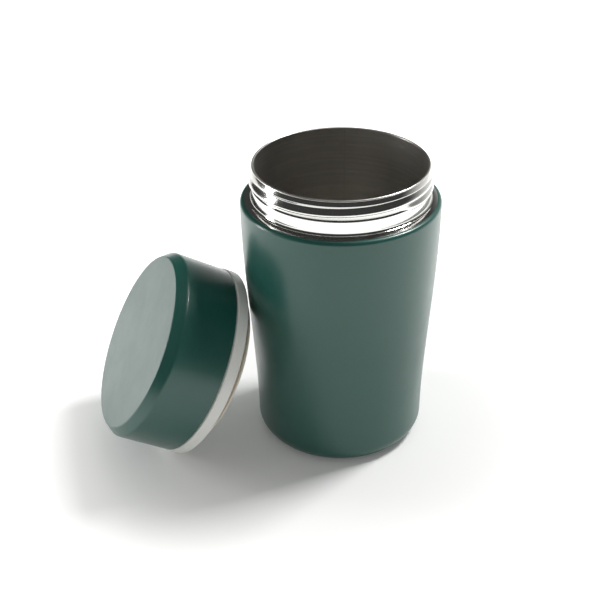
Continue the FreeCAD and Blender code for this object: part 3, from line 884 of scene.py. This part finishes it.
def floor_finish():
    """Pale ground that keeps the shadow; its glow shows directly and in reflections only, and is kept
    low near the jar, so the ground there is painted darker.
    """
    finish = bpy.data.materials.new("Pale ground")
    finish.use_nodes = True
    tree = finish.node_tree
    tree.nodes.clear()
    output = tree.nodes.new("ShaderNodeOutputMaterial")
    ray = tree.nodes.new("ShaderNodeLightPath")
    seen = maths(tree, "MAXIMUM", ray.outputs["Is Camera Ray"], ray.outputs["Is Glossy Ray"])
    seen = maths(tree, "MAXIMUM", seen, ray.outputs["Is Transmission Ray"])
    matt = node(tree, "ShaderNodeBsdfDiffuse", {"Color": (0.84, 0.84, 0.83, 1.0)})
    at = tree.nodes.new("ShaderNodeTexCoord").outputs["Object"]
    away = node(tree, "ShaderNodeVectorMath", {0: at}, operation="LENGTH").outputs["Value"]
    # painted shade: the glow is dimmed near the jar, so the ground round its foot, and its reflection in
    # the jar, reads darker than the lamps alone make it
    glow_dimmed_near_jar = spread(tree, away, GLOW_NEAR, GLOW_FAR, GLOW_AT_JAR_PAINTED_SHADE, GLOW_MOST, "SMOOTHSTEP")
    glow = node(tree, "ShaderNodeEmission",
                {"Color": (1.0, 1.0, 0.985, 1.0), "Strength": maths(tree, "MULTIPLY", seen, glow_dimmed_near_jar)})
    both = tree.nodes.new("ShaderNodeAddShader")
    tree.links.new(matt.outputs[0], both.inputs[0])
    tree.links.new(glow.outputs[0], both.inputs[1])
    tree.links.new(both.outputs[0], output.inputs["Surface"])
    return finish


def light_sky(scene):
    """White to the camera; in mirrors bright low behind on the right, else dark; even otherwise."""
    scene.world = bpy.data.worlds.new("Studio")
    scene.world.use_nodes = True
    tree = scene.world.node_tree
    tree.nodes.clear()
    output = tree.nodes.new("ShaderNodeOutputWorld")
    ray = tree.nodes.new("ShaderNodeLightPath")
    at = tree.nodes.new("ShaderNodeTexCoord").outputs["Generated"]
    facing = node(tree, "ShaderNodeVectorMath", {0: at, 1: BRIGHT_SIDE},
                  operation="DOT_PRODUCT").outputs["Value"]
    mirrored = spread(tree, facing, MIRROR_FROM, MIRROR_TO, MIRROR_DARK, MIRROR_BRIGHT, "SMOOTHSTEP")
    room = node(tree, "ShaderNodeMix",
                {0: ray.outputs["Is Glossy Ray"], 2: ROOM_LEVEL, 3: mirrored},
                data_type="FLOAT").outputs[0]
    strength = node(tree, "ShaderNodeMix", {0: ray.outputs["Is Camera Ray"], 2: room, 3: 1.0},
                    data_type="FLOAT").outputs[0]
    sky = node(tree, "ShaderNodeBackground", {"Color": (1.0, 1.0, 0.99, 1.0), "Strength": strength})
    tree.links.new(sky.outputs[0], output.inputs["Surface"])


def soft_light(name, place, size, power):
    data = bpy.data.lights.new(name, "AREA")
    data.shape = "RECTANGLE"
    data.size, data.size_y = size
    data.energy = power
    lamp = bpy.data.objects.new(name, data)
    bpy.context.scene.collection.objects.link(lamp)
    lamp.location = place
    lamp.rotation_euler = (Vector(LIGHTS_AIM) - Vector(place)).to_track_quat("-Z", "Y").to_euler()
    return lamp


class FOODJAR_OT_stage(bpy.types.Operator):
    """Pale floor, soft light and the camera at the photograph's angle"""
    bl_idname = "foodjar.stage"
    bl_label = "Make stage"

    def execute(self, context):
        s = context.scene.foodjar_stage
        deselect()
        bpy.ops.mesh.primitive_plane_add(size=s.floor_size, location=(0, 0, 0))
        floor = context.object
        floor.name = "ground"
        settle(floor, Matrix.Translation((0, 0, -FLOOR_DROP)))
        floor.data.materials.append(floor_finish())
        light_sky(context.scene)
        soft_light("key", KEY_PLACE, KEY_SIZE, s.key_power)
        soft_light("fill", FILL_PLACE, FILL_SIZE, s.fill_power)
        front = soft_light("front", FRONT_PLACE, FRONT_SIZE, s.front_power)
        front.visible_glossy = False    # else the polished neck mirrors it as a patch
        soft_light("top", TOP_PLACE, TOP_SIZE, s.top_power)
        self.aim_camera(context.scene, s)
        return {"FINISHED"}

    def aim_camera(self, scene, s):
        ahead = Vector((math.sin(s.yaw) * math.cos(s.pitch),
                        math.cos(s.yaw) * math.cos(s.pitch), -math.sin(s.pitch)))
        level = Vector((math.cos(s.yaw), -math.sin(s.yaw), 0))
        above = level.cross(ahead)
        right = math.cos(s.roll) * level + math.sin(s.roll) * above
        up = -math.sin(s.roll) * level + math.cos(s.roll) * above
        data = bpy.data.cameras.new("camera")
        data.sensor_width = 36
        data.lens = s.focal_px * data.sensor_width / PICTURE_WIDTH
        camera = bpy.data.objects.new("camera", data)
        scene.collection.objects.link(camera)
        turn = Matrix((right, up, -ahead)).transposed().to_4x4()
        camera.matrix_world = Matrix.Translation((0, -s.camera_distance, s.camera_height)) @ turn
        scene.camera = camera
        scene.view_settings.view_transform = "Standard"


class FOODJAR_PT_panel(bpy.types.Panel):
    """Lists the jar's operators and sizes"""
    bl_idname = "FOODJAR_PT_panel"
    bl_label = "Food Jar"
    bl_space_type = "VIEW_3D"
    bl_region_type = "UI"
    bl_category = "Food Jar"

    def draw(self, context):
        for operator in OPERATORS:
            self.layout.operator(operator.bl_idname)
        for label, name, group in SETTINGS:
            box = self.layout.box()
            box.label(text=label)
            values = getattr(context.scene, name)
            for key in group.__annotations__:
                box.prop(values, key)


OPERATORS = (
    FOODJAR_OT_finishes, FOODJAR_OT_body, FOODJAR_OT_neck, FOODJAR_OT_liner, FOODJAR_OT_foot,
    FOODJAR_OT_cap, FOODJAR_OT_collar, FOODJAR_OT_stopper, FOODJAR_OT_gasket, FOODJAR_OT_hidden,
    FOODJAR_OT_stage,
)
SETTINGS = (
    ("Jar", "foodjar_jar", JarSizes),
    ("Neck", "foodjar_neck", NeckSizes),
    ("Lid", "foodjar_lid", LidSizes),
    ("Colours", "foodjar_colours", FinishColours),
    ("Stage", "foodjar_stage", StageSettings),
)


def register():
    for label, name, group in SETTINGS:
        bpy.utils.register_class(group)
        setattr(bpy.types.Scene, name, bpy.props.PointerProperty(type=group, name=label))
    for operator in OPERATORS:
        bpy.utils.register_class(operator)
    bpy.utils.register_class(FOODJAR_PT_panel)


def unregister():
    bpy.utils.unregister_class(FOODJAR_PT_panel)
    for operator in reversed(OPERATORS):
        bpy.utils.unregister_class(operator)
    for label, name, group in reversed(SETTINGS):
        delattr(bpy.types.Scene, name)
        bpy.utils.unregister_class(group)


def main():
    register()
    for operator in OPERATORS:
        family, action = operator.bl_idname.split(".")
        getattr(getattr(bpy.ops, family), action)()


if __name__ == "__main__":
    main()
